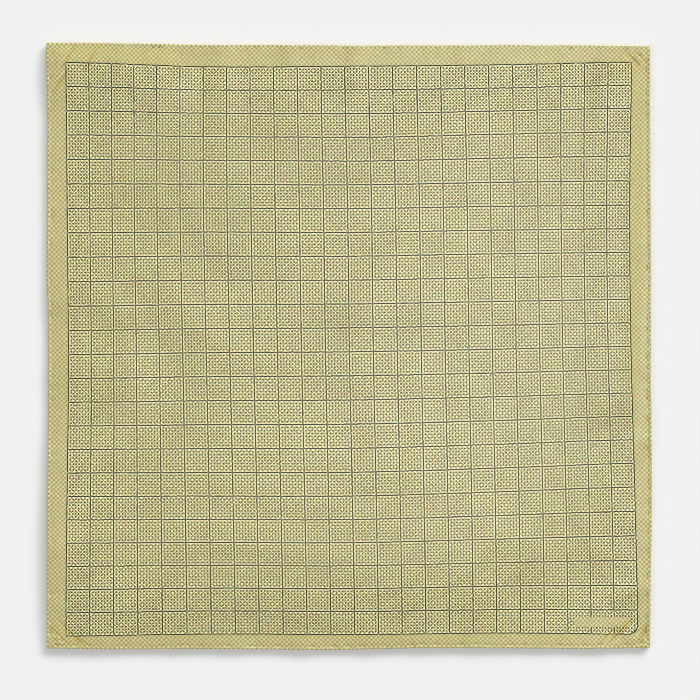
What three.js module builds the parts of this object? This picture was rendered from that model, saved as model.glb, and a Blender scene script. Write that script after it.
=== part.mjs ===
// Pocket square of printed silk twill, lying open and face up on a flat surface.
// One sheet of cloth with its edge rolled to the back and slip stitched all round.
// Millimetres, +Z up. The origin is the middle of the square, on the surface that it lies on.

import * as THREE from "three";
import { mergeGeometries, mergeVertices } from "three/addons/utils/BufferGeometryUtils.js";

// Driving dimensions
const SIDE = 330;
const HALF = SIDE / 2;
const CLOTH = 1.0;
const CORNER_RADIUS = 2.2;
const CLOTH_COLOUR = 0xc2bc90;
const CLOTH_ROUGHNESS = 0.62;

// Section across the rolled hem, from its outermost line inwards.
// inset is the distance from that line; under and top are the heights of the two faces.
const HEM_SECTION = [
  { inset: 0, under: 1.1, top: 1.1 },
  { inset: 0.4, under: 0.3, top: 1.85 },
  { inset: 1.1, under: 0, top: 2.2 },
  { inset: 2.2, under: 0, top: 1.9 },
  { inset: 3.6, under: 0, top: 1.2 },
  { inset: 7.0, under: 0, top: CLOTH },
];
const FIELD_STEPS = 38;

// How far each hem stands out from the true square, at nine places along the side.
// left and right are read going up the cloth, bottom and top going to the right.
const HEM_LINES = [
  { along: -1.0, left: -0.1, right: -0.5, bottom: 0.0, top: 0.8 },
  { along: -0.75, left: -0.4, right: 0.0, bottom: 0.5, top: 0.6 },
  { along: -0.5, left: -0.4, right: 0.6, bottom: 0.3, top: -0.2 },
  { along: -0.25, left: -0.6, right: 0.3, bottom: 0.6, top: -0.2 },
  { along: 0.0, left: -0.7, right: 0.0, bottom: 0.7, top: -0.6 },
  { along: 0.25, left: 0.0, right: 0.2, bottom: -0.2, top: -0.5 },
  { along: 0.5, left: -0.2, right: -0.1, bottom: -0.1, top: -0.4 },
  { along: 0.75, left: -0.3, right: -0.4, bottom: 0.2, top: -0.4 },
  { along: 1.0, left: 0.3, right: -0.4, bottom: -0.1, top: -0.9 },
];

// Ripples that run in from a hem. at is the place along that hem, reach is how far it runs in,
// half is half its width and lift is how high its crest stands off the surface.
const RIPPLES = {
  top: [
    { at: -124, reach: 34, half: 9, lift: 1.3 },
    { at: -68, reach: 52, half: 9, lift: 1.4 },
    { at: -32, reach: 30, half: 8, lift: 1.1 },
    { at: 4, reach: 52, half: 7, lift: 0.9 },
    { at: 45, reach: 24, half: 8, lift: 0.7 },
    { at: 70, reach: 25, half: 8, lift: 0.9 },
    { at: 104, reach: 20, half: 8, lift: 0.6 },
    { at: 140, reach: 58, half: 8, lift: 1.1 },
  ],
  bottom: [
    { at: -136, reach: 18, half: 8, lift: 0.7 },
    { at: -90, reach: 38, half: 9, lift: 1.3 },
    { at: -58, reach: 20, half: 8, lift: 0.7 },
    { at: -24, reach: 46, half: 9, lift: 1.4 },
    { at: 13, reach: 38, half: 8, lift: 1.3 },
    { at: 40, reach: 20, half: 7, lift: 0.6 },
    { at: 69, reach: 50, half: 8, lift: 1.3 },
    { at: 108, reach: 22, half: 8, lift: 0.8 },
    { at: 138, reach: 18, half: 7, lift: 0.7 },
  ],
  left: [
    { at: 118, reach: 20, half: 8, lift: 0.7 },
    { at: 74, reach: 30, half: 8, lift: 1.1 },
    { at: 23, reach: 36, half: 8, lift: 1.3 },
    { at: -17, reach: 24, half: 8, lift: 0.9 },
    { at: -60, reach: 20, half: 8, lift: 0.7 },
    { at: -109, reach: 30, half: 8, lift: 1.1 },
    { at: -141, reach: 18, half: 7, lift: 0.8 },
  ],
  right: [
    { at: 137, reach: 18, half: 8, lift: 0.8 },
    { at: 98, reach: 22, half: 8, lift: 0.7 },
    { at: 57, reach: 50, half: 8, lift: 1.1 },
    { at: 25, reach: 20, half: 8, lift: 0.7 },
    { at: -11, reach: 26, half: 8, lift: 0.8 },
    { at: -52, reach: 20, half: 8, lift: 0.6 },
    { at: -95, reach: 20, half: 8, lift: 0.6 },
    { at: -133, reach: 24, half: 8, lift: 0.9 },
  ],
};

// Low swells out in the field, each along a straight line from one point to the other.
const SWELLS = [
  { fromX: -122, fromY: 6, toX: -90, toY: 11, half: 9, lift: 1.0 },
  { fromX: 139, fromY: 100, toX: 141, toY: -10, half: 8, lift: 0.5 },
];

// Share of a ripple's lift by which the hem draws in there, and share of its reach at full height
const DRAW_IN = 0.3;
const FULL_HEIGHT = 0.3;

// Grid points of the two faces closer than this are one point
const MERGE_DISTANCE = 1e-4;

// A smooth line through evenly spaced rows of a table, read at a place from -1 to 1
function alongTable(rows, column, along) {
  const spacing = 2 / (rows.length - 1);
  const place = THREE.MathUtils.clamp((along + 1) / spacing, 0, rows.length - 1);
  const row = Math.min(Math.floor(place), rows.length - 2);
  const part = THREE.MathUtils.smoothstep(place - row, 0, 1);
  return THREE.MathUtils.lerp(rows[row][column], rows[row + 1][column], part);
}

// A soft hump: 1 at its middle, level there, and 0 from one half width away
function hump(distance, half) {
  const share = Math.min(Math.abs(distance) / half, 1);
  return (1 - share * share) ** 2;
}

// A ripple keeps its height near the hem and dies away towards its reach
function fade(inward, reach) {
  return 1 - THREE.MathUtils.smoothstep(inward, reach * FULL_HEIGHT, reach);
}

function rippleLift(side, at, inward) {
  let lift = 0;
  for (const ripple of RIPPLES[side]) {
    lift = Math.max(lift, ripple.lift * hump(at - ripple.at, ripple.half) * fade(inward, ripple.reach));
  }
  return lift;
}

function swellLift(x, y) {
  let lift = 0;
  for (const swell of SWELLS) {
    const line = new THREE.Line3(
      new THREE.Vector3(swell.fromX, swell.fromY, 0),
      new THREE.Vector3(swell.toX, swell.toY, 0),
    );
    const point = new THREE.Vector3(x, y, 0);
    const nearest = line.closestPointToPoint(point, true, new THREE.Vector3());
    lift = Math.max(lift, swell.lift * hump(point.distanceTo(nearest), swell.half));
  }
  return lift;
}

// Height of the cloth's underside over the surface. It is 0 wherever the cloth lies flat.
function clothLift(x, y) {
  return Math.max(
    rippleLift("top", x, HALF - y),
    rippleLift("bottom", x, HALF + y),
    rippleLift("left", y, HALF + x),
    rippleLift("right", y, HALF - x),
    swellLift(x, y),
  );
}

// Distances from the middle line to each grid line of the mesh, close together in the hem
function gridLines() {
  const fieldHalf = HALF - HEM_SECTION.at(-1).inset;
  const lines = [];
  for (const row of HEM_SECTION.slice(0, -1)) {
    lines.push(row.inset - HALF);
  }
  for (let step = 0; step <= FIELD_STEPS; step += 1) {
    lines.push(THREE.MathUtils.lerp(-fieldHalf, fieldHalf, step / FIELD_STEPS));
  }
  for (const row of HEM_SECTION.slice(0, -1).reverse()) {
    lines.push(HALF - row.inset);
  }
  return lines;
}

// Turns the square's corner into a round one, keeping every distance from the edge
function roundCorner(x, y) {
  const centre = HALF - CORNER_RADIUS;
  const overX = Math.abs(x) - centre;
  const overY = Math.abs(y) - centre;
  if (overX <= 0 || overY <= 0) {
    return [x, y];
  }
  const pull = Math.max(overX, overY) / Math.hypot(overX, overY);
  return [Math.sign(x) * (centre + overX * pull), Math.sign(y) * (centre + overY * pull)];
}

// Moves a point of the true square to where it lies on this uneven one
function settle(x, y) {
  const [roundX, roundY] = roundCorner(x, y);
  const acrossX = roundX / HALF;
  const upY = roundY / HALF;
  const left = alongTable(HEM_LINES, "left", upY) - DRAW_IN * rippleLift("left", roundY, 0);
  const right = alongTable(HEM_LINES, "right", upY) - DRAW_IN * rippleLift("right", roundY, 0);
  const bottom = alongTable(HEM_LINES, "bottom", acrossX) - DRAW_IN * rippleLift("bottom", roundX, 0);
  const top = alongTable(HEM_LINES, "top", acrossX) - DRAW_IN * rippleLift("top", roundX, 0);
  return [
    roundX + THREE.MathUtils.lerp(-left, right, (1 + acrossX) / 2),
    roundY + THREE.MathUtils.lerp(-bottom, top, (1 + upY) / 2),
  ];
}

// Height of one face of the cloth over its underside, from the hem's section
function sectionHeight(face, inset) {
  for (let row = 1; row < HEM_SECTION.length; row += 1) {
    const outer = HEM_SECTION[row - 1];
    const inner = HEM_SECTION[row];
    if (inset <= inner.inset) {
      const part = (inset - outer.inset) / (inner.inset - outer.inset);
      return THREE.MathUtils.lerp(outer[face], inner[face], part);
    }
  }
  return HEM_SECTION.at(-1)[face];
}

// One face of the sheet as a grid. Each square is split towards the middle of the cloth, so that
// the corner squares keep their outer edges free.
function clothFace(face) {
  const lines = gridLines();
  const count = lines.length;
  const positions = [];
  for (const y of lines) {
    for (const x of lines) {
      const inset = HALF - Math.max(Math.abs(x), Math.abs(y));
      const [placeX, placeY] = settle(x, y);
      positions.push(placeX, placeY, clothLift(x, y) + sectionHeight(face, inset));
    }
  }
  const index = [];
  for (let row = 0; row < count - 1; row += 1) {
    for (let column = 0; column < count - 1; column += 1) {
      const a = row * count + column;
      const b = a + 1;
      const c = a + count + 1;
      const d = a + count;
      const sameHalf = (lines[row] < 0) === (lines[column] < 0);
      const corners = sameHalf ? [a, b, c, a, c, d] : [a, b, d, b, c, d];
      index.push(...(face === "top" ? corners : corners.reverse()));
    }
  }
  const geometry = new THREE.BufferGeometry();
  geometry.setAttribute("position", new THREE.Float32BufferAttribute(positions, 3));
  geometry.setIndex(index);
  return geometry;
}

// The whole sheet: its two faces joined round the hem's outermost line
function clothSheet() {
  const faces = mergeGeometries([clothFace("top"), clothFace("under")]);
  const geometry = mergeVertices(faces, MERGE_DISTANCE);
  geometry.computeBoundingBox();
  const middle = geometry.boundingBox.getCenter(new THREE.Vector3());
  geometry.translate(-middle.x, -middle.y, 0);
  geometry.computeVertexNormals();
  return geometry;
}

const cloth = new THREE.Mesh(
  clothSheet(),
  new THREE.MeshStandardMaterial({ color: CLOTH_COLOUR, roughness: CLOTH_ROUGHNESS, metalness: 0 }),
);
cloth.name = "pocket_square";

const pocketSquare = new THREE.Group();
pocketSquare.add(cloth);

export default pocketSquare;
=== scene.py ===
import math
import random

import bmesh
import bpy
from mathutils import Matrix, Vector, noise


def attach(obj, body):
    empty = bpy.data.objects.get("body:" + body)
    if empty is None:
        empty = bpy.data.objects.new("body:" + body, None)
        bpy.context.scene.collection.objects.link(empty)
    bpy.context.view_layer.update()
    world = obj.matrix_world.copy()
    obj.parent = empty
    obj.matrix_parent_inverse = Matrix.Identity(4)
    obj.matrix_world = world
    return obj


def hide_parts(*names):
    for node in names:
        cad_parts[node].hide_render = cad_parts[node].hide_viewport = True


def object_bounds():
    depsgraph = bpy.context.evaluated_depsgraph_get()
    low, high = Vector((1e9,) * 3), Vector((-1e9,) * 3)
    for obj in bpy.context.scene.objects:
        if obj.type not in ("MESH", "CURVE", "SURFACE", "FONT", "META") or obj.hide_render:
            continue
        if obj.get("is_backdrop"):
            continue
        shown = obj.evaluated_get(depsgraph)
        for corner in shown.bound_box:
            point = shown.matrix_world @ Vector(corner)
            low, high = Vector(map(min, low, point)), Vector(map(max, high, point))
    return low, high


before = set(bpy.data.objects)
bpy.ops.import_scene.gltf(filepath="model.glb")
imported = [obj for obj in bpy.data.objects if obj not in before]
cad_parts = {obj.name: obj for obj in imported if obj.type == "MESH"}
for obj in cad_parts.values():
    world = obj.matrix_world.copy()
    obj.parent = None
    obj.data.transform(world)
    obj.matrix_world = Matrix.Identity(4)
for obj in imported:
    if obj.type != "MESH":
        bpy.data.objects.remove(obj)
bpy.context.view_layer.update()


# The cloth: one square of printed silk twill, cut 340 mm on a side. It lies open and face up.
# Its raw edge is rolled to the back all round into a round hem, which brings it to 330 mm.
# The sewing pulls the hem in a little at each stitch, and soft ripples run in from it.

# All lengths of the cloth are in mm until its mesh is done
MM = 0.001
HALF = 165.0
THICK = 0.25
CORNER_RADIUS = 1.0

# The hem roll, seen from its end: the cloth comes in over the top and winds round and in.
# The first half turn is open, and the inner ones, counted here as half turns, are wound tighter.
# The iron has flattened the roll, so it is wider than high.
ROLL_CENTRE = 1.1
ROLL_HEIGHT = 1.10
ROLL_WIDE = 0.975
ROLL_HIGH = 0.75
ROLL_FLAT_TOP = 0.2
ROLL_FLAT_SIDE = 0.55
ROLL_INNER = 1.4
ROLL_TURN = (1 + ROLL_INNER) * math.pi
ROLL_TIGHTEN = 0.3
ROLL_MEAN = (ROLL_WIDE + ROLL_HIGH) / 2
ROLL_CLOTH = ROLL_MEAN * (ROLL_TURN - ROLL_TIGHTEN * (ROLL_INNER / 2) * ROLL_INNER * math.pi)

# From the roll the cloth drops over its shoulder, then sinks slowly to its height in the field.
# The field lies lowest at the upper right and has a little air under it towards the lower left.
SHOULDER_FROM, SHOULDER_TO = 1.2, 3.0
SHOULDER_DROP = {"top": 0.03, "bottom": -0.05, "left": 0.0, "right": 0.26}
SHOULDER_BLEND = 8
SINK_WIDTH = 90.0
FIELD_HEIGHT = 1.0
FIELD_AIR = 0.8
FIELD_AIR_FROM, FIELD_AIR_TO = -180.0, 250.0

# The drawn hem doesn't lie down all along: it waves up and down, and where it dips furthest it
# touches the table. Further in, loose cloth stands off the table here and there, and near each
# corner the hem bunches into small knots. Each has a height, a size across and a layer, which
# is only a number that makes it differ from the others.
HEM_FLOAT, FLOAT_SIZE, FLOAT_LAYER = 0.2, 24.0, 6.2
LOOSE_AIR, LOOSE_SIZE, LOOSE_LAYER = 0.35, 42.0, 3.1
KNOT_LIFT, KNOT_SIZE, KNOT_LAYER = 0.5, 2.2, 8.4
FLOAT_GAIN = 2.2

# Where they fade in or out, from the edge inwards, and for the knots from the corner too
FLOAT_FROM, FLOAT_TO = 2, 26
LOOSE_FROM, LOOSE_TO = 4, 30
KNOT_FROM_EDGE, KNOT_TO_EDGE = 6, 12
KNOT_FROM_CORNER, KNOT_TO_CORNER = 5, 14

# Cloth this close to the edge gives way to the hem's being drawn in
SQUEEZE = 12.0

# How far each hem stands out from the true square, at nine even places along the side.
# left and right are read going up the cloth, bottom and top going to the right.
HEM_LINES = {
    "left": (-0.1, -0.4, -0.4, -0.6, -0.7, 0.0, -0.2, -0.3, 0.3),
    "right": (-0.5, 0.0, 0.6, 0.3, 0.0, 0.2, -0.1, -0.4, -0.4),
    "bottom": (0.0, 0.5, 0.3, 0.6, 0.7, -0.2, -0.1, 0.2, -0.1),
    "top": (0.8, 0.6, -0.2, -0.2, -0.6, -0.5, -0.4, -0.4, -0.9),
}

# Ripples that run in from a hem: the place along that hem, how far it runs in, half its width,
# and how high its crest stands off the table
RIPPLES = {
    "top": (
        (-124, 34, 9, 0.35), (-68, 52, 9, 0.35), (-32, 30, 8, 0.35), (4, 52, 7, 0.40),
        (45, 24, 8, 0.20), (64, 25, 8, 0.35), (104, 20, 8, 0.20), (139, 58, 8, 0.35),
    ),
    "bottom": (
        (-136, 18, 8, 0.20), (-90, 38, 9, 0.20), (-58, 20, 8, 0.20), (-24, 46, 9, 0.20),
        (13, 38, 8, 0.30), (40, 20, 7, 0.20), (69, 50, 8, 0.45), (108, 22, 8, 0.25), (138, 18, 7, 0.25),
    ),
    "left": (
        (118, 20, 8, 0.20), (74, 30, 8, 0.25), (23, 36, 8, 0.20), (-17, 24, 8, 0.20),
        (-60, 20, 8, 0.20), (-109, 30, 8, 0.25), (-141, 18, 7, 0.20),
    ),
    "right": (
        (137, 18, 8, 0.25), (98, 22, 8, 0.20), (57, 50, 8, 0.25), (25, 20, 8, 0.20),
        (-11, 26, 8, 0.20), (-52, 20, 8, 0.20), (-95, 20, 8, 0.20), (-133, 24, 8, 0.25),
    ),
}

# Share of a ripple's height by which the hem draws in there, and share of its run at full height
DRAW_IN = 0.6
FULL_HEIGHT = 0.3

# Low swells: the two ends of the crest, how far it falls away on its left hand and on its right
# hand, going from the first end to the second, and its height. Nearer to the crest than the last
# value, the two hands run into one.
SWELLS = (
    (-106, 150, -154, 154, 34, 14, 1.2),
    (-85, 12, -140, 22, 16, 40, 0.5),
    (-124, -8, -146, -10, 20, 18, 0.8),
    (-110, -28, -130, -24, 20, 14, 0.4),
    (50, -124, -142, -126, 44, 110, 1.4),
    (147, -30, 150, 140, 26, 12, 1.1),
    (112, 22, -10, 22, 13, 8, 0.25),
    (150, -138, 158, -128, 14, 10, 0.3),
)
ON_CREST = 0.001

# Creases pressed into the cloth where the hem bunches at its corners: the two ends, half the
# width, and the depth in the middle, of which the ends lose this share. All lie nearer to a
# corner than the last value.
# The silk's colour is also darkened and yellowed in their beds, as painted shade.
CREASES = (
    (151.0, 162.0, 160.5, 152.5, 1.4, 0.42),
    (148.5, 158.5, 157.5, 150.0, 1.1, 0.25),
    (156.0, 162.5, 162.5, 156.5, 1.0, 0.30),
    (-153.0, 150.5, -163.0, 137.0, 1.4, 0.35),
    (-149.0, 163.5, -157.5, 151.0, 1.2, 0.25),
    (-136.0, 163.5, -146.0, 149.0, 1.2, 0.20),
    (159.0, -162.2, 163.6, -151.5, 1.7, 0.55),
    (144.0, -161.0, 154.5, -150.0, 2.2, 0.28),
    (138.0, -162.5, 146.0, -153.0, 1.2, 0.20),
    (-163.0, -153.5, -153.0, -163.0, 1.1, 0.30),
    (-159.0, -149.0, -146.0, -163.0, 1.2, 0.25),
    (-152.5, -156.0, -142.0, -163.5, 1.1, 0.20),
)
CREASE_ENDS_LOSE = 0.5
CREASED_WITHIN = 34


def clamp(value, low, high):
    return max(low, min(high, value))


def smooth(value, start, end):
    """0 before start, 1 after end, and a soft step between."""
    share = clamp((value - start) / (end - start), 0, 1)
    return share * share * (3 - 2 * share)


def hump(distance, half):
    """1 in the middle, level there, and 0 from half the width away."""
    share = min(abs(distance) / half, 1)
    return (1 - share * share) ** 2


def bell(distance, half):
    return math.exp(-(distance / half) ** 2)


def uneven(x, y, size, layer):
    """A soft random value about 0 that changes over the given size, and differs by layer."""
    return noise.noise(Vector((x / size, y / size, layer)))


def read_row(values, place):
    """A smooth curve through evenly spaced values, read at a place from 0 to 1."""
    place = clamp(place, 0, 1) * (len(values) - 1)
    first = min(int(place), len(values) - 2)
    part = place - first
    before = values[max(first - 1, 0)]
    start, end = values[first], values[first + 1]
    after = values[min(first + 2, len(values) - 1)]
    slope_start, slope_end = (end - before) / 2, (after - start) / 2
    rise = end - start
    return (
        start
        + slope_start * part
        + (3 * rise - 2 * slope_start - slope_end) * part ** 2
        + (slope_start + slope_end - 2 * rise) * part ** 3
    )


def ripple_lift(side, at, inward):
    """How far one hem's ripples raise the cloth, at a place along it and a distance in."""
    lift = 0.0
    for place, reach, half, height in RIPPLES[side]:
        if abs(at - place) < half and inward < reach:
            fade = 1 - smooth(inward, reach * FULL_HEIGHT, reach)
            lift = max(lift, height * hump(at - place, half) * fade)
    return lift


def swell_lift(x, y):
    lift = 0.0
    for from_x, from_y, to_x, to_y, left_fall, right_fall, height in SWELLS:
        run = Vector((to_x - from_x, to_y - from_y))
        point = Vector((x - from_x, y - from_y))
        part = clamp(point @ run / run.length_squared, 0, 1)
        off = point - run * part
        on_left = 0.5 + 0.5 * run.cross(off) / max(run.length * off.length, ON_CREST)
        fall = right_fall + (left_fall - right_fall) * on_left
        lift += height * hump(off.length, fall)
    return lift


def cloth_lift(x, y):
    """How far the ripples and swells raise the cloth."""
    ripples = max(
        ripple_lift("top", x, HALF - y),
        ripple_lift("bottom", x, HALF + y),
        ripple_lift("left", y, HALF + x),
        ripple_lift("right", y, HALF - x),
    )
    return ripples + swell_lift(x, y)


def crease_share(x, y):
    """0 away from the corner creases and 1 in the bed of one, and the depth there in mm."""
    share = depth = 0.0
    for from_x, from_y, to_x, to_y, half, deepest in CREASES:
        run = Vector((to_x - from_x, to_y - from_y))
        point = Vector((x - from_x, y - from_y))
        part = clamp(point @ run / run.length_squared, 0, 1)
        near = hump((point - run * part).length, half)
        near *= 1 - CREASE_ENDS_LOSE * abs(2 * part - 1)
        share = max(share, near)
        depth = max(depth, deepest * near)
    return share, depth


# Places of the slip stitches along each hem, from one corner to the other, as uneven as hand
# sewing, each with the strength of its pull from 0 to 1
STITCH_INSET = 1.8
STITCH_END = 160.0
STITCH_GAP = (3.5, 8.0)
needle = random.Random(7)
stitches = {}
for side in ("top", "bottom", "left", "right"):
    stitches[side] = []
    at = -STITCH_END
    while at < STITCH_END:
        stitches[side].append((at, needle.random()))
        at += needle.uniform(*STITCH_GAP)

# A stitch draws the roll in a little, presses a dimple beside it and a wider hollow round that.
# The row of stitches also lies in a shallow groove.
PULL_REACH = 3
PULL_HALF = 1.1
PULL_IN = 0.16
PULL_FROM, PULL_TO = 2, 6
STITCH_DIP = {"top": 0.30, "bottom": 0.40, "left": 0.35, "right": 0.60}
DIMPLE_HALF = 0.6
HOLLOW = 0.10
HOLLOW_TO = 7
GROOVE = {"top": 0.0, "bottom": 0.02, "left": 0.0, "right": 0.09}
GROOVE_HALF = 0.8
SEWN_WITHIN = 9
SEWN_TO = STITCH_END + 1


def stitch_pull(side, at):
    """How strongly the nearest stitch pulls at a place along a hem, from 0 to 1."""
    pull = 0.0
    for place, strength in stitches[side]:
        if abs(at - place) < PULL_REACH:
            pull = max(pull, strength * bell(at - place, PULL_HALF))
    return pull


def sew(x, y, inset, in_roll):
    """Draws a point in at the stitch beside it, and gives how deep it sinks there."""
    if abs(x) > abs(y):
        side, at = ("right" if x > 0 else "left"), y
    else:
        side, at = ("top" if y > 0 else "bottom"), x
    if inset >= SEWN_WITHIN or abs(at) >= SEWN_TO:
        return x, y, 0.0
    pull = stitch_pull(side, at)
    drawn, dip = PULL_IN * pull, 0.0
    if not in_roll:
        drawn *= 1 - smooth(inset, PULL_FROM, PULL_TO)
        dimple = STITCH_DIP[side] * bell(inset - STITCH_INSET, DIMPLE_HALF)
        dip = pull * (dimple + HOLLOW * (1 - smooth(inset, PULL_FROM, HOLLOW_TO)))
        dip += GROOVE[side] * bell(inset - STITCH_INSET, GROOVE_HALF)
    if side in ("left", "right"):
        return x - math.copysign(drawn, x), y, dip
    return x, y - math.copysign(drawn, y), dip


def hem_roll(reach, field, drop):
    """Distance in from the rim and height of the cloth, at a distance from the middle of the
    cut, where the field beside it lies at the given height and the shoulder drops as given."""
    past = reach - (HALF - ROLL_CENTRE)
    if past <= 0:
        inset = HALF - reach
        top = ROLL_HEIGHT + ROLL_HIGH
        shoulder = drop * smooth(inset, SHOULDER_FROM, SHOULDER_TO)
        sink = (top - drop - field) * smooth(inset, ROLL_CENTRE, SINK_WIDTH)
        return inset, top - shoulder - sink
    turn = ROLL_TURN * past / ROLL_CLOTH
    share = 1 - ROLL_TIGHTEN * max(turn / math.pi - 1, 0)
    rise = math.copysign(abs(math.cos(turn)) ** ROLL_FLAT_TOP, math.cos(turn))
    out = math.copysign(abs(math.sin(turn)) ** ROLL_FLAT_SIDE, math.sin(turn))
    return ROLL_CENTRE - share * ROLL_WIDE * out, ROLL_HEIGHT + share * ROLL_HIGH * rise


def follow_roll(x, y, reach, inset):
    """Moves a point in with its ring of cloth, where the roll takes that ring."""
    held = HALF - SQUEEZE
    if reach <= held:
        return x, y
    squeeze = (HALF - inset - held) / (reach - held)
    if abs(x) >= held:
        x = math.copysign(held + (abs(x) - held) * squeeze, x)
    if abs(y) >= held:
        y = math.copysign(held + (abs(y) - held) * squeeze, y)
    return x, y


def round_corner(x, y):
    """Turns the square corner of one ring of the cloth into a round one."""
    centre = HALF - CORNER_RADIUS
    over_x, over_y = abs(x) - centre, abs(y) - centre
    if over_x <= 0 or over_y <= 0:
        return x, y
    pull = max(over_x, over_y) / math.hypot(over_x, over_y)
    return math.copysign(centre + over_x * pull, x), math.copysign(centre + over_y * pull, y)


def side_share(place):
    return 0.5 + place / HALF / 2


def hem_out(side, at):
    """How far a hem stands out from the true square at a place along it."""
    return read_row(HEM_LINES[side], side_share(at)) - DRAW_IN * ripple_lift(side, at, 0)


def settle(x, y):
    """Moves a point of the true square to the uneven outline that the sewn cloth has."""
    part_x, part_y = clamp(side_share(x), 0, 1), clamp(side_share(y), 0, 1)
    return (
        x - hem_out("left", y) * (1 - part_x) + hem_out("right", y) * part_x,
        y - hem_out("bottom", x) * (1 - part_y) + hem_out("top", x) * part_y,
    )


def lie(x, y):
    """Moves a point of the flat cut cloth to where it lies, hem roll and all, in mm."""
    reach = max(abs(x), abs(y))
    in_roll = reach > HALF - ROLL_CENTRE
    beside = SHOULDER_DROP["right" if x > 0 else "left"]
    along = SHOULDER_DROP["top" if y > 0 else "bottom"]
    drop = along + (beside - along) * smooth(abs(x) - abs(y), -SHOULDER_BLEND, SHOULDER_BLEND)
    field = FIELD_HEIGHT + FIELD_AIR * smooth(-x - y, FIELD_AIR_FROM, FIELD_AIR_TO)
    inset, height = hem_roll(reach, field, drop)
    x, y = round_corner(*follow_roll(x, y, reach, inset))
    lift = cloth_lift(x, y)
    x, y, dip = sew(x, y, inset, in_roll)
    floating = clamp(FLOAT_GAIN * uneven(x, y, FLOAT_SIZE, FLOAT_LAYER), -1, 1)
    lift += HEM_FLOAT * floating * (1 - smooth(inset, FLOAT_FROM, FLOAT_TO))
    loose = smooth(inset, LOOSE_FROM, LOOSE_TO)
    air = LOOSE_AIR * loose * max(uneven(x, y, LOOSE_SIZE, LOOSE_LAYER), 0)
    corner = HALF - min(abs(x), abs(y))
    if corner < KNOT_TO_CORNER and not in_roll:
        knot = 1 - smooth(corner, KNOT_FROM_CORNER, KNOT_TO_CORNER)
        knot *= 1 - smooth(inset, KNOT_FROM_EDGE, KNOT_TO_EDGE)
        air += KNOT_LIFT * knot * max(uneven(x, y, KNOT_SIZE, KNOT_LAYER), 0)
    if corner < CREASED_WITHIN and not in_roll:
        dip += crease_share(x, y)[1]
    settled_x, settled_y = settle(x, y)
    return Vector((settled_x, settled_y, max(height - dip, THICK / 2) + lift + air))


# The lines of the cut's mesh lie close together in the roll and beside it, and evenly in the
# field. Squares in the hem are then split along it, and those with creases both ways.
ROLL_STEPS = 16
ROLL_CROWDING = 1.5
BESIDE_ROLL = (0.0, 0.4, 0.8, 1.2, 1.7, 2.4, 3.2, 4.2, 5.5)
FIELD_STEPS = 44
HEM_STRIP = 5.0
HEM_LONG_EDGE = 1.5
HEM_CUTS = 2
CREASED_FROM = 133.0
CREASE_LONG_EDGE = 1.2
CREASE_CUTS = 4


def cut_lines():
    """Places of the mesh lines across the flat cut, from one raw edge to the other."""
    start = HALF - ROLL_CENTRE
    lines = [
        start + ROLL_CLOTH * (step / ROLL_STEPS) ** ROLL_CROWDING for step in range(ROLL_STEPS, 0, -1)
    ]
    lines += [start - inward for inward in BESIDE_ROLL]
    inner = lines[-1]
    lines += [inner - inner * step / FIELD_STEPS for step in range(1, FIELD_STEPS)]
    return [-line for line in lines] + [0.0] + list(reversed(lines))


def is_long_in_hem(edge):
    start, end = (corner.co for corner in edge.verts)
    middle = (start + end) / 2
    strip = HALF - HEM_STRIP
    in_level_hem = abs(start.x - end.x) > HEM_LONG_EDGE and abs(middle.y) > strip
    in_upright_hem = abs(start.y - end.y) > HEM_LONG_EDGE and abs(middle.x) > strip
    return in_level_hem or in_upright_hem


def is_long_in_corner(edge):
    reaches = [(abs(corner.co.x), abs(corner.co.y)) for corner in edge.verts]
    creased = all(min(reach) > CREASED_FROM and max(reach) < HALF for reach in reaches)
    return creased and edge.calc_length() > CREASE_LONG_EDGE


def cut_cloth():
    """The flat cut as a grid on its lines, with the squares in the hem and corners split."""
    lines = cut_lines()
    count = len(lines) - 1
    mesh = bmesh.new()
    bmesh.ops.create_grid(mesh, x_segments=count, y_segments=count, size=count / 2)
    for corner in mesh.verts:
        corner.co.x = lines[round(corner.co.x + count / 2)]
        corner.co.y = lines[round(corner.co.y + count / 2)]
    for is_long, cuts in ((is_long_in_hem, HEM_CUTS), (is_long_in_corner, CREASE_CUTS)):
        edges = [edge for edge in mesh.edges if is_long(edge)]
        bmesh.ops.subdivide_edges(mesh, edges=edges, cuts=cuts, use_grid_fill=True)
    return mesh


# The print is a true grid of squares, but the cloth lies a little out of true. These say how
# far its lines lie off, in mm. Rows go down the print and columns across it, at every sixth line.
SQUARE = 12.9
SQUARES = 24
OFF_RIGHT = (
    (0.4, -2.2, -2.4, -1.2, -0.7),
    (0.9, -2.1, -0.8, 0.0, -1.7),
    (1.7, -0.6, 0.2, 1.0, -1.0),
    (1.0, 1.1, 1.8, 2.3, 1.2),
    (0.4, 2.3, 3.1, 3.2, 2.8),
)
OFF_UP = (
    (0.0, -2.2, -1.9, -1.2, 0.3),
    (-2.1, -1.9, -2.2, -1.0, -0.4),
    (-4.6, -3.5, -3.0, -1.6, 0.0),
    (-4.5, -4.3, -4.3, -2.1, 0.5),
    (-3.3, -2.2, -2.5, -1.7, -2.4),
)

# Between those lines the cloth is drawn a little further, in mm: the middle of each place, half
# its width and height, and how far it is drawn to the right and up
PULLS = (
    (-116, 0, 38, 400, -0.5, 0.0),
    (116, 0, 38, 400, 0.55, 0.0),
    (130, 116, 120, 38, 0.0, 1.0),
    (-90, 116, 110, 38, 0.0, 0.45),
)
ROUNDS_TO_PLACE = 3


def read_table(rows, across, down):
    return read_row([read_row(row, across) for row in rows], down)


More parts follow.
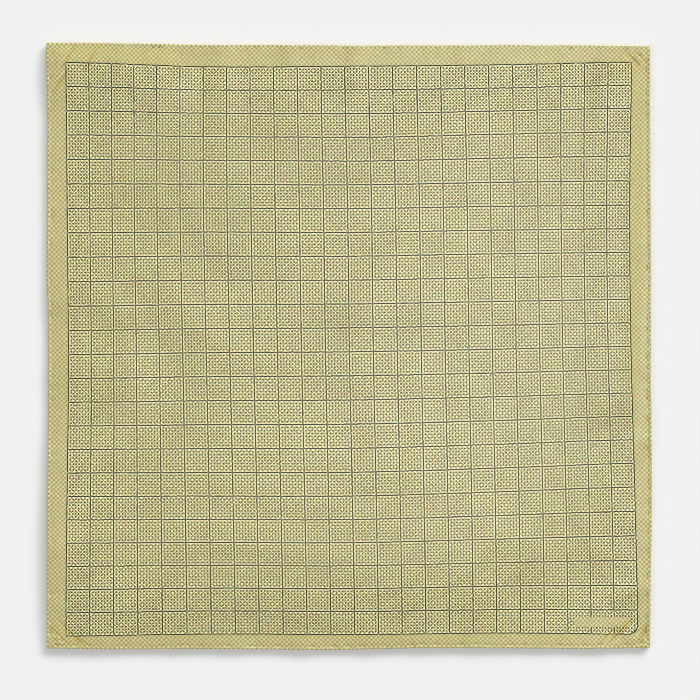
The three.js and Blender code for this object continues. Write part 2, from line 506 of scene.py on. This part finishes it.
def print_square(x, y):
    """Where a point of the cloth falls on the print, in squares to the right and up."""
    across, up = SQUARES / 2 + x / SQUARE, SQUARES / 2 + y / SQUARE
    drawn_right = drawn_up = 0.0
    for place_x, place_y, half_x, half_y, to_right, upwards in PULLS:
        share = hump(x - place_x, half_x) * hump(y - place_y, half_y)
        drawn_right += share * to_right
        drawn_up += share * upwards
    for _ in range(ROUNDS_TO_PLACE):
        right = drawn_right + read_table(OFF_RIGHT, across / SQUARES, 1 - up / SQUARES)
        upward = drawn_up + read_table(OFF_UP, across / SQUARES, 1 - up / SQUARES)
        across = SQUARES / 2 + (x - right) / SQUARE
        up = SQUARES / 2 + (y - upward) / SQUARE
    return across, up


# The UV map holds 30 squares across, so that the print and a margin of 3 squares fit in it
UV_SQUARES = 30.0
UV_MARGIN = 3.0

cloth_mesh = cut_cloth()
cloth_mesh.verts.index_update()
squares = [print_square(*settle(corner.co.x, corner.co.y)) for corner in cloth_mesh.verts]
print_layer = cloth_mesh.loops.layers.uv.new("print")
for face in cloth_mesh.faces:
    face.smooth = True
    for loop in face.loops:
        across, up = squares[loop.vert.index]
        loop[print_layer].uv = ((across + UV_MARGIN) / UV_SQUARES, (up + UV_MARGIN) / UV_SQUARES)
# Each point keeps its crease share as a mask, by which the silk gets painted shade in the crease beds.
crease_shade_layer = cloth_mesh.verts.layers.float.new("crease_shade_mask")
for corner in cloth_mesh.verts:
    corner[crease_shade_layer] = crease_share(corner.co.x, corner.co.y)[0]
    corner.co = lie(corner.co.x, corner.co.y)
low = Vector([min(corner.co[axis] for corner in cloth_mesh.verts) for axis in range(3)])
high = Vector([max(corner.co[axis] for corner in cloth_mesh.verts) for axis in range(3)])
middle = Vector(((low.x + high.x) / 2, (low.y + high.y) / 2, 0))
bmesh.ops.translate(cloth_mesh, verts=cloth_mesh.verts, vec=-middle)
bmesh.ops.scale(cloth_mesh, verts=cloth_mesh.verts, vec=(MM, MM, MM))
bmesh.ops.recalc_face_normals(cloth_mesh, faces=cloth_mesh.faces)
cloth_data = bpy.data.meshes.new("silk_square")
cloth_mesh.to_mesh(cloth_data)
cloth_mesh.free()
cloth = bpy.data.objects.new("silk_square", cloth_data)
bpy.context.collection.objects.link(cloth)

# Half the thickness goes to each side. The underside takes the second finish, the print's back.
body = cloth.modifiers.new("cloth thickness", "SOLIDIFY")
body.thickness = THICK * MM
body.offset = 0
body.use_quality_normals = True
body.material_offset = 1


def add_node(tree, kind, inputs=(), **settings):
    """Adds a shader node. A value that is a socket is linked, and any other is set."""
    node = tree.nodes.new(kind)
    for name, value in settings.items():
        setattr(node, name, value)
    for name, value in dict(inputs).items():
        if isinstance(value, bpy.types.NodeSocket):
            tree.links.new(value, node.inputs[name])
        else:
            node.inputs[name].default_value = value
    return node


def maths(tree, operation, *values):
    return add_node(tree, "ShaderNodeMath", enumerate(values), operation=operation).outputs[0]


def vector_maths(tree, operation, *values):
    return add_node(tree, "ShaderNodeVectorMath", enumerate(values), operation=operation).outputs[0]


def step_down(tree, value, start, end):
    """1 while the value is under start, 0 once it is over end."""
    node = add_node(
        tree, "ShaderNodeMapRange",
        {"Value": value, "From Min": start, "From Max": end, "To Min": 1.0, "To Max": 0.0},
        interpolation_type="SMOOTHSTEP",
    )
    return node.outputs["Result"]


def mix_colours(tree, factor, first, second):
    """The first colour where the factor is 0 and the second where it is 1."""
    colours = {0: factor, 6: first, 7: second}
    return add_node(tree, "ShaderNodeMix", colours, data_type="RGBA").outputs[2]


def rest_of(tree, value):
    return maths(tree, "SUBTRACT", 1.0, value)


def slant_length(tree, across, up):
    squared = maths(tree, "ADD", maths(tree, "POWER", across, 2.0), maths(tree, "POWER", up, 2.0))
    return maths(tree, "SQRT", squared)


def new_group(name, inputs, outputs):
    """An empty shader node group with its named sockets."""
    group = bpy.data.node_groups.new(name, "ShaderNodeTree")
    for socket, kind in inputs:
        group.interface.new_socket(socket, in_out="INPUT", socket_type=kind)
    for socket, kind in outputs:
        group.interface.new_socket(socket, in_out="OUTPUT", socket_type=kind)
    return group, group.nodes.new("NodeGroupInput"), group.nodes.new("NodeGroupOutput")


# The printed design, in squares of its grid. The ground has this many waves to a square.
GROUND_REPEAT = 5.2
GROUND_START = (0.445, 0.174)
GROUND_REACH = 1.2
WINDOW_GROUND_REACH = 0.8
EDGE_SOFT = 0.01
LINE_HALF = 0.026
LINE_SOFT = 0.008
LINE_STRAY = (7.0, 0.05)
CROSSING_FADE = 0.5
DOT_STEPS = 8
DOT_FROM, DOT_TO = 0.285, 0.365
DOT_STRAY = (5.5, 0.055)
DOT_FADE = 0.2
CORNER_ARC = 0.38
PANEL_MIDDLE = (22.5, 0.5)
PANEL_HALF = (1.19, 0.21)

# Inside the window the ground is paler round each dot and deeper between the dots. Along each
# line it is a little paler, by the rise less the line's own loss.
HALO_RISE = 0.24
BETWEEN_FALL = 0.84
BETWEEN_FROM, BETWEEN_TO = 0.42, 0.66
LINE_LOSS = 0.12
BESIDE_FROM, BESIDE_TO = 0.045, 0.085


def print_places(tree):
    """Places on the print from the UV map, in squares, and the same across and up."""
    uv = add_node(tree, "ShaderNodeUVMap", uv_map="print").outputs["UV"]
    places = vector_maths(tree, "MULTIPLY_ADD", uv, (UV_SQUARES,) * 3, (-UV_MARGIN, -UV_MARGIN, 0))
    parts = add_node(tree, "ShaderNodeSeparateXYZ", {0: places})
    return places, parts.outputs["X"], parts.outputs["Y"]


def wander(tree, places, scale, reach):
    """Places across and up the print that stray a little from the true ones."""
    stray = add_node(tree, "ShaderNodeTexNoise", {"Vector": places, "Scale": scale, "Detail": 1.0})
    half = -reach / 2
    strayed = vector_maths(
        tree, "MULTIPLY_ADD", stray.outputs["Color"], (reach, reach, 0), (half, half, 0),
    )
    parts = add_node(tree, "ShaderNodeSeparateXYZ", {0: vector_maths(tree, "ADD", places, strayed)})
    return parts.outputs["X"], parts.outputs["Y"]


def ground_wave(tree, value, start):
    turns = maths(tree, "MULTIPLY_ADD", value, GROUND_REPEAT, start)
    return maths(tree, "COSINE", maths(tree, "MULTIPLY", turns, math.tau))


def inside(tree, across, up, middle, half):
    """1 within a rectangle of the print and 0 outside it."""
    shares = []
    for value, centre, reach in zip((across, up), middle, half):
        off = maths(tree, "ABSOLUTE", maths(tree, "SUBTRACT", value, centre))
        shares.append(step_down(tree, off, reach - EDGE_SOFT, reach + EDGE_SOFT))
    return maths(tree, "MULTIPLY", *shares)


def make_print():
    """The printed design: a ground of pale dots set in staggered rows, and over it a window
    grid whose squares each hold seven rows of seven dots. One low strip in the last row of
    squares is left without dots."""
    names = ("Pale", "Window Pale", "Deep", "Line Ink", "Dot Ink")
    tree, given, result = new_group(
        "window_dot_print", [(name, "NodeSocketColor") for name in names],
        [("Colour", "NodeSocketColor"), ("Ink", "NodeSocketFloat")],
    )
    places, across, up = print_places(tree)
    drawn_across, drawn_up = wander(tree, places, *LINE_STRAY)
    dotted_across, dotted_up = wander(tree, places, *DOT_STRAY)

    # The window: the whole grid but for its lower right corner, which is a small arc, and for
    # the strip without dots
    out_across = maths(tree, "SUBTRACT", drawn_across, SQUARES - CORNER_ARC)
    out_down = maths(tree, "SUBTRACT", CORNER_ARC, drawn_up)
    in_arc = maths(
        tree, "MULTIPLY",
        maths(tree, "GREATER_THAN", out_across, 0.0), maths(tree, "GREATER_THAN", out_down, 0.0),
    )
    arc_reach = slant_length(tree, out_across, out_down)
    past_arc = maths(tree, "GREATER_THAN", arc_reach, CORNER_ARC + LINE_HALF)
    in_frame = inside(tree, across, up, (SQUARES / 2,) * 2, (SQUARES / 2 + LINE_HALF,) * 2)
    in_frame = maths(tree, "MULTIPLY", in_frame, rest_of(tree, maths(tree, "MULTIPLY", in_arc, past_arc)))
    in_panel = inside(tree, across, up, PANEL_MIDDLE, PANEL_HALF)
    printed = maths(tree, "SUBTRACT", in_frame, in_panel)

    # The ground's dots, which stand out more inside the window
    ground = maths(
        tree, "MULTIPLY",
        ground_wave(tree, across, GROUND_START[0]), ground_wave(tree, up, GROUND_START[1]),
    )
    reach_lost = maths(tree, "MULTIPLY", printed, GROUND_REACH - WINDOW_GROUND_REACH)
    reach = maths(tree, "SUBTRACT", GROUND_REACH, reach_lost)
    paleness = add_node(
        tree, "ShaderNodeMapRange",
        {"Value": ground, "From Min": maths(tree, "MULTIPLY", reach, -1.0), "From Max": reach},
    ).outputs["Result"]

    # The window's lines, fainter where they cross
    line_across = maths(tree, "PINGPONG", drawn_across, 0.5)
    line_up = maths(tree, "PINGPONG", drawn_up, 0.5)
    upright = step_down(tree, line_across, LINE_HALF - LINE_SOFT, LINE_HALF + LINE_SOFT)
    level = step_down(tree, line_up, LINE_HALF - LINE_SOFT, LINE_HALF + LINE_SOFT)
    crossing = maths(tree, "MULTIPLY", upright, level)
    arc_off = maths(tree, "ABSOLUTE", maths(tree, "SUBTRACT", arc_reach, CORNER_ARC))
    arc = step_down(tree, arc_off, LINE_HALF - LINE_SOFT, LINE_HALF + LINE_SOFT)
    straight = maths(tree, "MULTIPLY", maths(tree, "MAXIMUM", upright, level), rest_of(tree, in_arc))
    lines = maths(tree, "ADD", straight, maths(tree, "MULTIPLY", arc, in_arc))
    lines = maths(tree, "MULTIPLY", lines, printed)

    # The window's dots, fainter where they print over the ground's pale ones
    dot_across = maths(tree, "PINGPONG", maths(tree, "MULTIPLY", dotted_across, DOT_STEPS), 0.5)
    dot_up = maths(tree, "PINGPONG", maths(tree, "MULTIPLY", dotted_up, DOT_STEPS), 0.5)
    dot_reach = slant_length(tree, dot_across, dot_up)
    dots = step_down(tree, dot_reach, DOT_FROM, DOT_TO)
    line_distance = maths(tree, "MINIMUM", line_across, line_up)
    clear_of_lines = maths(tree, "GREATER_THAN", line_distance, 0.5 / DOT_STEPS)
    dots = maths(tree, "MULTIPLY", maths(tree, "MULTIPLY", dots, clear_of_lines), printed)
    dots = maths(tree, "MULTIPLY", dots, rest_of(tree, maths(tree, "MULTIPLY", paleness, DOT_FADE)))

    # The colours, from the ground up
    between = step_down(tree, dot_reach, BETWEEN_TO, BETWEEN_FROM)
    beside_line = step_down(tree, line_distance, BESIDE_FROM, BESIDE_TO)
    between = maths(tree, "MULTIPLY", between, rest_of(tree, beside_line))
    halo = maths(tree, "MULTIPLY_ADD", between, -BETWEEN_FALL, HALO_RISE)
    halo = maths(tree, "MULTIPLY_ADD", beside_line, -LINE_LOSS, halo)
    toned = maths(tree, "MULTIPLY_ADD", halo, printed, paleness)
    pale = mix_colours(tree, printed, given.outputs["Pale"], given.outputs["Window Pale"])
    colour = mix_colours(tree, toned, given.outputs["Deep"], pale)
    colour = mix_colours(tree, dots, colour, given.outputs["Dot Ink"])
    faded = rest_of(tree, maths(tree, "MULTIPLY", crossing, CROSSING_FADE))
    colour = mix_colours(tree, maths(tree, "MULTIPLY", lines, faded), colour, given.outputs["Line Ink"])
    tree.links.new(colour, result.inputs["Colour"])
    tree.links.new(maths(tree, "MAXIMUM", lines, dots), result.inputs["Ink"])
    return tree


# The weave: twill ribs, so many to a square of the print, and threads of uneven thickness and
# shade. Clouds of shade and small specks of tint lie over it.
TWILL_RIBS = 34.0
RIB_SLANT = 0.6
THREAD_STRETCH = (30.0, 1.5, 1.0)
THREAD_HEIGHT = 1.5
THREAD_SHADE = 0.06
CLOUD_SCALE = 0.28
CLOUD_SHADE = 0.10
SPECK_SCALE = 22.0
SPECK_TINT = 0.75
BASE_SHADE = 0.92
SPECK_GAIN = 1.57
SILK_ROUGHNESS = 0.31
CLOUD_ROUGHNESS = 0.10


def make_twill():
    """Fine slanting twill ribs with thicker and thinner threads, and slight clouds of shade."""
    tree, given, result = new_group(
        "silk_twill", [("Colour", "NodeSocketColor")],
        [("Colour", "NodeSocketColor"), ("Height", "NodeSocketFloat"), ("Roughness", "NodeSocketFloat")],
    )
    uv = add_node(tree, "ShaderNodeUVMap", uv_map="print").outputs["UV"]
    places = vector_maths(tree, "MULTIPLY", uv, (UV_SQUARES,) * 3)
    parts = add_node(tree, "ShaderNodeSeparateXYZ", {0: places})
    slant = maths(
        tree, "ADD", parts.outputs["X"], maths(tree, "MULTIPLY", parts.outputs["Y"], RIB_SLANT),
    )
    ribs = maths(tree, "SINE", maths(tree, "MULTIPLY", slant, TWILL_RIBS * math.tau))

    def uneven_shade(at, scale, detail):
        return add_node(tree, "ShaderNodeTexNoise", {"Vector": at, "Scale": scale, "Detail": detail})

    along_threads = vector_maths(tree, "MULTIPLY", places, THREAD_STRETCH)
    threads = uneven_shade(along_threads, 1.0, 2.0).outputs[0]
    clouds = uneven_shade(places, CLOUD_SCALE, 3.0).outputs[0]
    specks = uneven_shade(places, SPECK_SCALE, 1.0).outputs["Color"]
    shade = maths(
        tree, "ADD",
        maths(tree, "MULTIPLY", threads, THREAD_SHADE), maths(tree, "MULTIPLY", clouds, CLOUD_SHADE),
    )
    shade = maths(tree, "ADD", shade, BASE_SHADE)
    tint = mix_colours(tree, SPECK_TINT, (1.0, 1.0, 1.0, 1.0), specks)
    tinted = vector_maths(tree, "MULTIPLY", given.outputs["Colour"], tint)
    shaded = add_node(
        tree, "ShaderNodeVectorMath", {0: tinted, "Scale": maths(tree, "MULTIPLY", shade, SPECK_GAIN)},
        operation="SCALE",
    ).outputs[0]
    height = maths(tree, "ADD", ribs, maths(tree, "MULTIPLY", threads, THREAD_HEIGHT))
    roughness = maths(
        tree, "ADD", maths(tree, "MULTIPLY", clouds, CLOUD_ROUGHNESS), SILK_ROUGHNESS,
    )
    tree.links.new(shaded, result.inputs["Colour"])
    tree.links.new(height, result.inputs["Height"])
    tree.links.new(roughness, result.inputs["Roughness"])
    return tree


window_print = make_print()
silk_twill = make_twill()

# The silk's shine lies over it as a clear coat, which the dull ink breaks
SILK_SHINE = 1.0
INK_DULLS = 0.9
SHINE_ROUGHNESS = 0.33
GROUND_GLOSS = 0.1
SHEEN = 0.06
SHEEN_ROUGHNESS = 0.4
RIB_BUMP = 0.12
RIB_DEPTH = 0.05
# Painted shade: in the crease beds the silk's colour is multiplied by this darker, yellower colour.
CREASE_SHADE_COLOUR = (0.90, 0.74, 0.24, 1)


def make_silk(name, colours):
    """Printed silk twill in the given colours, with its ribs, a soft sheen and painted shade in the
    crease beds.
    """
    material = bpy.data.materials.new(name)
    material.use_nodes = True
    tree = material.node_tree
    shader = tree.nodes["Principled BSDF"]
    printed = add_node(tree, "ShaderNodeGroup", node_tree=window_print)
    for socket, colour in colours.items():
        printed.inputs[socket].default_value = (*colour, 1.0)
    woven = add_node(tree, "ShaderNodeGroup", node_tree=silk_twill)
    # Painted shade: the crease mask darkens and yellows the print in the crease beds.
    crease_shade_mask = add_node(tree, "ShaderNodeAttribute", attribute_name="crease_shade_mask").outputs["Fac"]
    painted_crease_shade = mix_colours(tree, crease_shade_mask, (1, 1, 1, 1), CREASE_SHADE_COLOUR)
    creased = vector_maths(tree, "MULTIPLY", printed.outputs["Colour"], painted_crease_shade)
    tree.links.new(creased, woven.inputs["Colour"])
    tree.links.new(woven.outputs["Colour"], shader.inputs["Base Color"])
    tree.links.new(woven.outputs["Roughness"], shader.inputs["Roughness"])
    bump = add_node(
        tree, "ShaderNodeBump",
        {"Height": woven.outputs["Height"], "Strength": RIB_BUMP, "Distance": RIB_DEPTH * MM},
    )
    tree.links.new(bump.outputs["Normal"], shader.inputs["Normal"])
    shine = maths(tree, "MULTIPLY_ADD", printed.outputs["Ink"], -INK_DULLS * SILK_SHINE, SILK_SHINE)
    tree.links.new(shine, shader.inputs["Coat Weight"])
    shader.inputs["Coat Roughness"].default_value = SHINE_ROUGHNESS
    shader.inputs["Specular IOR Level"].default_value = GROUND_GLOSS
    shader.inputs["Sheen Weight"].default_value = SHEEN
    shader.inputs["Sheen Roughness"].default_value = SHEEN_ROUGHNESS
    return material


cloth.data.materials.append(make_silk("printed_silk_face", {
    "Pale": (0.745, 0.67, 0.325),
    "Window Pale": (0.95, 0.905, 0.49),
    "Deep": (0.24, 0.215, 0.045),
    "Line Ink": (0.022, 0.030, 0.026),
    "Dot Ink": (0.013, 0.008, 0.001),
}))
cloth.data.materials.append(make_silk("printed_silk_back", {
    "Pale": (0.72, 0.67, 0.42),
    "Window Pale": (0.76, 0.72, 0.47),
    "Deep": (0.40, 0.36, 0.18),
    "Line Ink": (0.20, 0.20, 0.15),
    "Dot Ink": (0.22, 0.20, 0.11),
}))

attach(cloth, "root")
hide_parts("pocket_square")


# The slip stitches: short bites of dark silk thread that catch the rolled edge to the cloth.
# Each shows as a small grain sunk in its own dimple, just inside the roll. The grains are dark
# partly as thread and partly as painted shade that stands for the needle pits. Only a stitch that
# pulls harder than its side's share here comes to the surface, so more grains, and more of this
# painted shade, lie along the bottom and right hems.
BITE_SHOWS = {"top": 0.85, "bottom": 0.45, "left": 0.7, "right": 0.4}
BITE_LENGTH = 1.2
BITE_SHORTEST = 0.6
BITE_THICK = 0.5
BITE_TURN = 0.6


def stitch_place(side, at):
    """The place of a stitch on the flat cloth, at a place along its hem."""
    inner = HALF - STITCH_INSET
    if side in ("left", "right"):
        return (inner if side == "right" else -inner), at
    return at, (inner if side == "top" else -inner)


thread = bmesh.new()
for side, places in stitches.items():
    square_to_hem = 0 if side in ("left", "right") else math.pi / 2
    for at, strength in places:
        if strength < BITE_SHOWS[side]:
            continue
        spot = lie(*stitch_place(side, at)) - middle
        bite = bmesh.ops.create_icosphere(thread, subdivisions=1, radius=0.5)["verts"]
        length = BITE_LENGTH * needle.uniform(BITE_SHORTEST, 1.0)
        bmesh.ops.scale(thread, verts=bite, vec=(length, BITE_THICK, BITE_THICK))
        turn = needle.uniform(-BITE_TURN, BITE_TURN) + square_to_hem
        bmesh.ops.rotate(thread, verts=bite, cent=(0, 0, 0), matrix=Matrix.Rotation(turn, 3, "Z"))
        bmesh.ops.translate(thread, verts=bite, vec=spot + Vector((0, 0, THICK / 2)))
bmesh.ops.scale(thread, verts=thread.verts, vec=(MM, MM, MM))
bmesh.ops.recalc_face_normals(thread, faces=thread.faces)
for face in thread.faces:
    face.smooth = True
thread_data = bpy.data.meshes.new("hem_stitches")
thread.to_mesh(thread_data)
thread.free()
hem_stitches = bpy.data.objects.new("hem_stitches", thread_data)
bpy.context.collection.objects.link(hem_stitches)

# The thread is mottled dark brown to olive. Its darkest brown is also painted shade for the needle pits.
THREAD_DARK_AND_PIT_SHADE = (0.02, 0.016, 0.008, 1)
THREAD_LIGHT = (0.16, 0.13, 0.06, 1)
THREAD_MOTTLE = 900.0
THREAD_ROUGHNESS = 0.6
thread_and_pit_shade_finish = bpy.data.materials.new("dark_thread_and_pit_shade")
thread_and_pit_shade_finish.use_nodes = True
thread_tree = thread_and_pit_shade_finish.node_tree
thread_shader = thread_tree.nodes["Principled BSDF"]
thread_place = add_node(thread_tree, "ShaderNodeTexCoord").outputs["Object"]
mottle = add_node(thread_tree, "ShaderNodeTexNoise", {"Vector": thread_place, "Scale": THREAD_MOTTLE})
thread_and_pit_shade_colour = mix_colours(thread_tree, mottle.outputs[0], THREAD_DARK_AND_PIT_SHADE, THREAD_LIGHT)
thread_tree.links.new(thread_and_pit_shade_colour, thread_shader.inputs["Base Color"])
thread_shader.inputs["Roughness"].default_value = THREAD_ROUGHNESS
hem_stitches.data.materials.append(thread_and_pit_shade_finish)
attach(hem_stitches, "root")


# The table: a wide plain pale surface that the cloth lies on. It is matt and has no edge in
# sight.
TABLE_HALF = 6.0
TABLE_WHITE = 0.80
TABLE_ROUGHNESS = 0.9
floor_mesh = bmesh.new()
bmesh.ops.create_grid(floor_mesh, x_segments=1, y_segments=1, size=TABLE_HALF)
floor_data = bpy.data.meshes.new("floor")
floor_mesh.to_mesh(floor_data)
floor_mesh.free()
floor = bpy.data.objects.new("floor", floor_data)
bpy.context.collection.objects.link(floor)
paper = bpy.data.materials.new("pale_table")
paper.use_nodes = True
paper_shader = paper.node_tree.nodes["Principled BSDF"]
paper_shader.inputs["Base Color"].default_value = (TABLE_WHITE, TABLE_WHITE, TABLE_WHITE, 1.0)
paper_shader.inputs["Roughness"].default_value = TABLE_ROUGHNESS
paper_shader.inputs["Specular IOR Level"].default_value = 0.0
floor.data.materials.append(paper)
floor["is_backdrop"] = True


# Light: an even pale room, a soft key light low from the upper right, made of three lamps side
# by side, a weak fill from the lower left, and one broad lamp overhead, a little to the right,
# whose sheen lies over the middle of the silk.
TABLE_LIGHT = 0.88
KEY_SHARE = 0.41
KEY_ELEVATION = 17.8
KEY_SIDES = (38, 54, 74)
KEY_SPREAD = 15
FILL_SHARE = 0.10
OVERHEAD_SHARE = 0.14
FULL_LIGHT = TABLE_LIGHT / TABLE_WHITE
scene = bpy.context.scene
scene.view_settings.view_transform = "Standard"
scene.cycles.filter_width = 0.85


def add_lamp(name, share, elevation, azimuth, spread):
    """A far lamp that gives its share of the table's light, from the given side in degrees."""
    up, around = math.radians(elevation), math.radians(azimuth)
    lamp_data = bpy.data.lights.new(name, "SUN")
    lamp_data.energy = share * FULL_LIGHT * math.pi / math.sin(up)
    lamp_data.angle = math.radians(spread)
    lamp = bpy.data.objects.new(name, lamp_data)
    bpy.context.collection.objects.link(lamp)
    toward = Vector((math.cos(up) * math.cos(around), math.cos(up) * math.sin(around), math.sin(up)))
    lamp.rotation_mode = "QUATERNION"
    lamp.rotation_quaternion = toward.to_track_quat("Z", "Y")


for key_side in KEY_SIDES:
    add_lamp("low_key", KEY_SHARE / len(KEY_SIDES), KEY_ELEVATION, key_side, KEY_SPREAD)
add_lamp("fill", FILL_SHARE, elevation=32, azimuth=208, spread=25)
add_lamp("overhead", OVERHEAD_SHARE, elevation=84, azimuth=20, spread=6)
room = bpy.data.worlds.new("pale_room")
room.use_nodes = True
background = room.node_tree.nodes["Background"]
background.inputs["Color"].default_value = (1.0, 1.0, 1.0, 1)
background.inputs["Strength"].default_value = (1 - KEY_SHARE - FILL_SHARE - OVERHEAD_SHARE) * FULL_LIGHT
scene.world = room


# Camera: straight above the cloth, as far off as its lens needs to frame it.
# The cloth's middle lies a little off the middle of the picture.
PIXELS = 700
MM_PER_PIXEL = 0.5465
MIDDLE_PIXEL = (349.05, 346.3)
LENS = 85.0
SENSOR = 36.0
view_width = PIXELS * MM_PER_PIXEL
camera_data = bpy.data.cameras.new("camera")
camera_data.lens = LENS
camera_data.sensor_width = SENSOR
camera = bpy.data.objects.new("camera", camera_data)
bpy.context.collection.objects.link(camera)
camera.location = Vector((
    (PIXELS / 2 - MIDDLE_PIXEL[0]) * MM_PER_PIXEL - middle.x,
    (MIDDLE_PIXEL[1] - PIXELS / 2) * MM_PER_PIXEL - middle.y,
    FIELD_HEIGHT + view_width * LENS / SENSOR,
)) * MM
scene.camera = camera

low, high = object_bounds()
